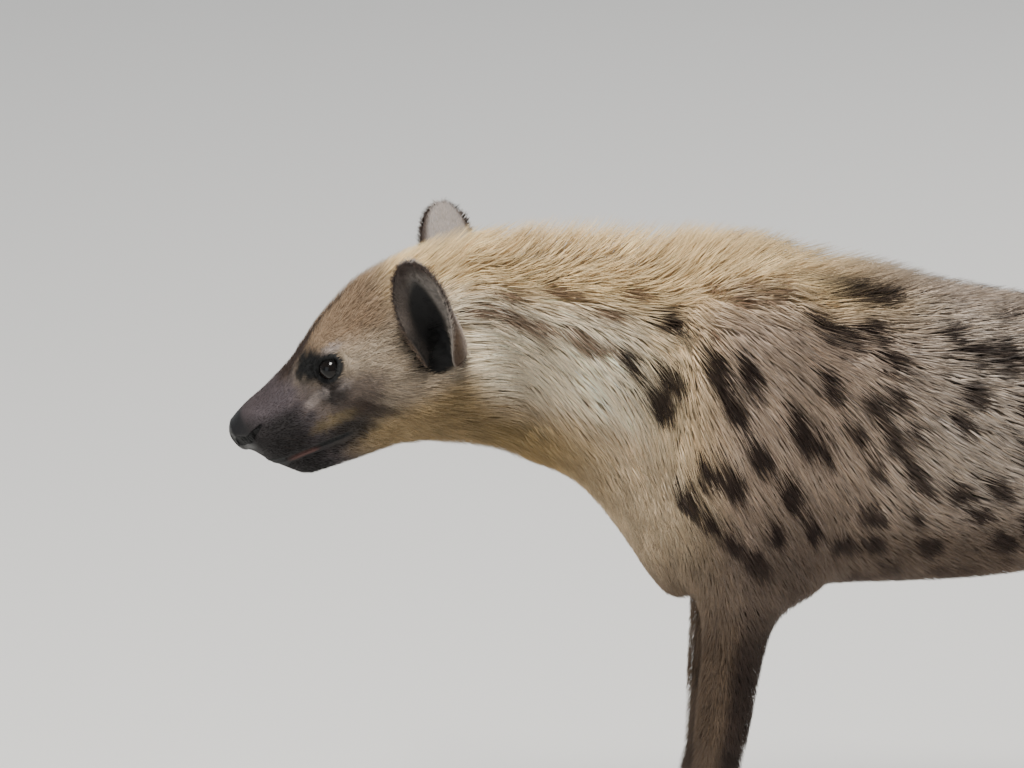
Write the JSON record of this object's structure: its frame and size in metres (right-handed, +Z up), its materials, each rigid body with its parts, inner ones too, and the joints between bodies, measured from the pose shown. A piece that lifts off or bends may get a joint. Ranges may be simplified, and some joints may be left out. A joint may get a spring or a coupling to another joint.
{
  "type": "spotted hyena, standing still model",
  "caption": "Life-size standing spotted hyena with lowered head, rounded ears, spotted shaggy coat, neck mane and hanging tail brush, as a still display model.",
  "frame": {"origin": "on the floor under the middle of the whole model", "axes": "+X from the nose towards the tail, +Y towards the animal's right side, +Z up"},
  "size_m": [1.2524, 0.295, 0.8356],
  "materials": {
    "coat": "shaggy grey-brown fur with dark spots",
    "pale_coat": "long cream and golden fur",
    "dark_coat": "short dark brown fur",
    "leather": "damp black nose leather",
    "eye": "wet dark brown eye",
    "claw": "worn dark horn"
  },
  "bodies": {
    "root": {"head": "coat", "lower_jaw": "coat", "nose": "leather", "eye_left": "eye", "eye_right": "eye", "ear_left": "dark_coat", "ear_right": "dark_coat", "neck": "pale_coat", "torso": "coat", "foreleg_left": "dark_coat", "foreleg_right": "dark_coat", "hindleg_left": "dark_coat", "hindleg_right": "dark_coat", "forepaw_left": "dark_coat", "forepaw_right": "dark_coat", "hindpaw_left": "dark_coat", "hindpaw_right": "dark_coat", "tail": "dark_coat"}
  },
  "joints": []
}
